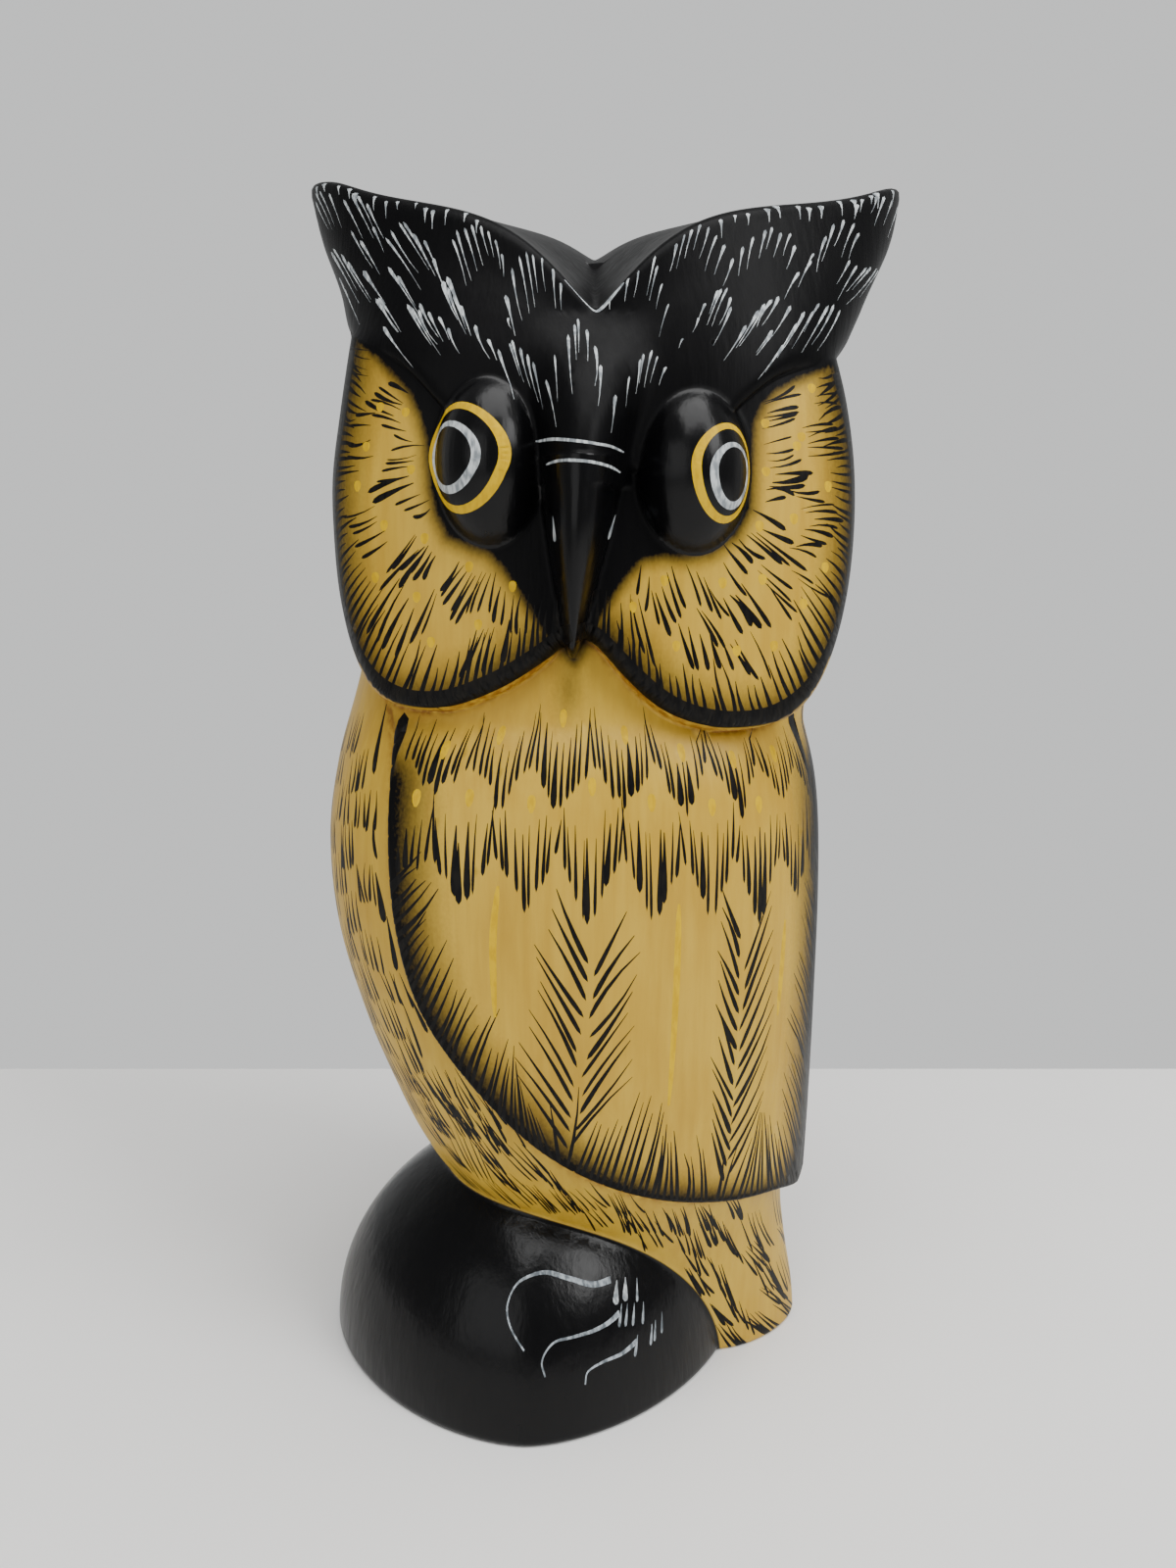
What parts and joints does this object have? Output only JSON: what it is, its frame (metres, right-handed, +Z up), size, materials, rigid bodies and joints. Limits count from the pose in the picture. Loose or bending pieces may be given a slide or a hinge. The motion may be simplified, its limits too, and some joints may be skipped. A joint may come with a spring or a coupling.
{
  "type": "carved wooden owl figurine",
  "caption": "Hand-carved, hand-painted wooden owl with raised ear tufts, perched sideways on a rounded black mound with its head turned to the viewer.",
  "frame": {"origin": "middle of the box round the figure, at the flat underside", "axes": "+Z up from the base to the ear tufts, the face looks towards -Y, the tail is on the +X side"},
  "size_m": [0.1068, 0.0844, 0.2193],
  "materials": {
    "painted_wood": "ochre and black emulsion paint with black, white and yellow brush strokes, under a satin varnish"
  },
  "bodies": {
    "root": {"owl": "painted_wood"}
  },
  "joints": []
}
